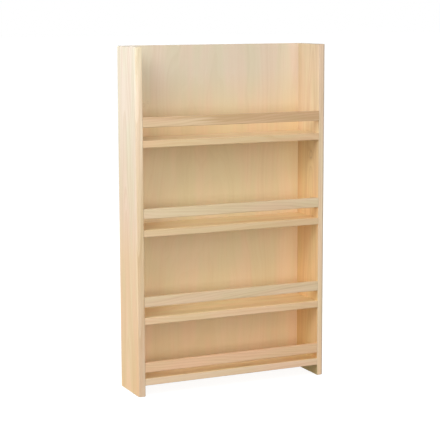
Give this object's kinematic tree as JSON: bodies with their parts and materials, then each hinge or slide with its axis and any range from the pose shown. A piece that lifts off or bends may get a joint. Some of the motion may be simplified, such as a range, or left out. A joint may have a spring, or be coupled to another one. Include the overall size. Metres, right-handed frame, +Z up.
{
  "type": "pantry rack",
  "caption": "Open shallow wooden pantry rack with fixed shelves, a slim guard rail along each shelf front, and a closed back panel.",
  "frame": {"origin": "middle of the footprint on the floor, at the bottom of the side boards", "axes": "+Z up, +X to the right seen from the front, -Y is the open front, +Y the back"},
  "size_m": [0.397, 0.093, 0.66],
  "materials": {
    "maple_side": "clear satin lacquer, vertical grain",
    "maple_shelf": "clear satin lacquer, grain along the shelf",
    "maple_rail": "clear satin lacquer, grain along the rail",
    "maple_ply_panel": "clear satin lacquer on maple-faced plywood, vertical grain",
    "birch_dowel": "bare wood",
    "steel_brad": "bright plain steel"
  },
  "bodies": {
    "root": {"back_panel": "maple_ply_panel", "bottom_rail": "maple_rail", "bottom_rail_dowels": "birch_dowel", "bottom_shelf": "maple_shelf", "bottom_shelf_brads": "steel_brad", "bottom_shelf_dowels": "birch_dowel", "left_side": "maple_side", "left_side_brads": "steel_brad", "lower_rail": "maple_rail", "lower_rail_dowels": "birch_dowel", "lower_shelf": "maple_shelf", "lower_shelf_brads": "steel_brad", "lower_shelf_dowels": "birch_dowel", "right_side": "maple_side", "right_side_brads": "steel_brad", "top_rail": "maple_rail", "top_rail_dowels": "birch_dowel", "top_shelf": "maple_shelf", "top_shelf_brads": "steel_brad", "top_shelf_dowels": "birch_dowel", "upper_rail": "maple_rail", "upper_rail_dowels": "birch_dowel", "upper_shelf": "maple_shelf", "upper_shelf_brads": "steel_brad", "upper_shelf_dowels": "birch_dowel"}
  },
  "joints": []
}
